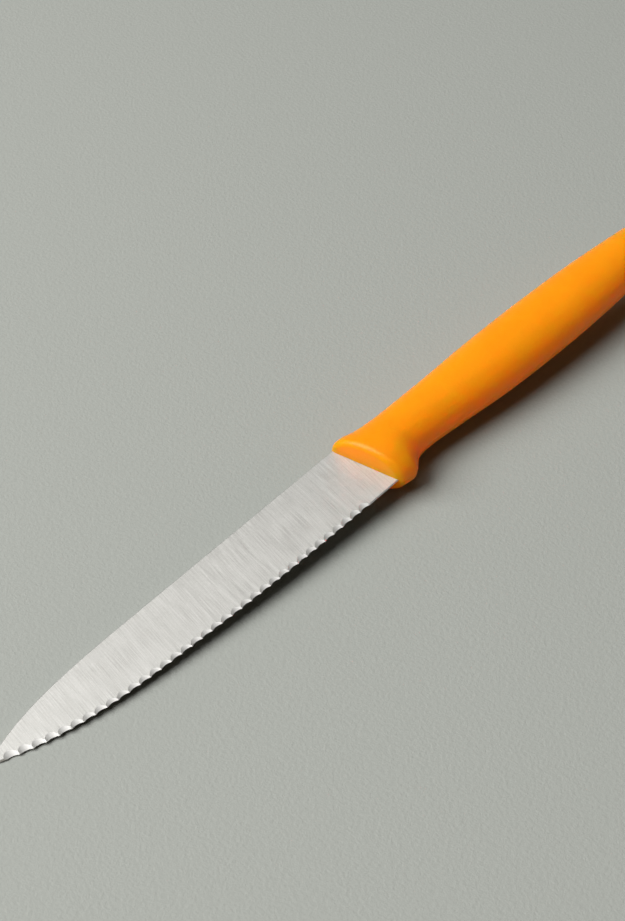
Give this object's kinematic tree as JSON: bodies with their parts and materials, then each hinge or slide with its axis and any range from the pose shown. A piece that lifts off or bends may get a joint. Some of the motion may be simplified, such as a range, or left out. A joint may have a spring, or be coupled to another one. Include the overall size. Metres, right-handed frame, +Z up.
{
  "type": "serrated vegetable knife",
  "caption": "Small kitchen knife with a pointed, serrated steel blade and a moulded orange plastic handle, for cutting vegetables and soft-skinned fruit.",
  "frame": {"origin": "on the table under the middle of the knife, which lies on its side on its finger guard and its palm swell", "axes": "+X along the knife from the tip to the butt, +Y from the cutting edge to the spine, +Z up, out of the side that the serration is ground into"},
  "size_m": [0.2378, 0.0214, 0.0134],
  "materials": {
    "blade_steel": "stainless steel, ground across the blade and left brushed",
    "handle_plastic": "orange moulded plastic, satin with a very fine grain"
  },
  "bodies": {
    "root": {"blade": "blade_steel", "handle": "handle_plastic"}
  },
  "joints": []
}
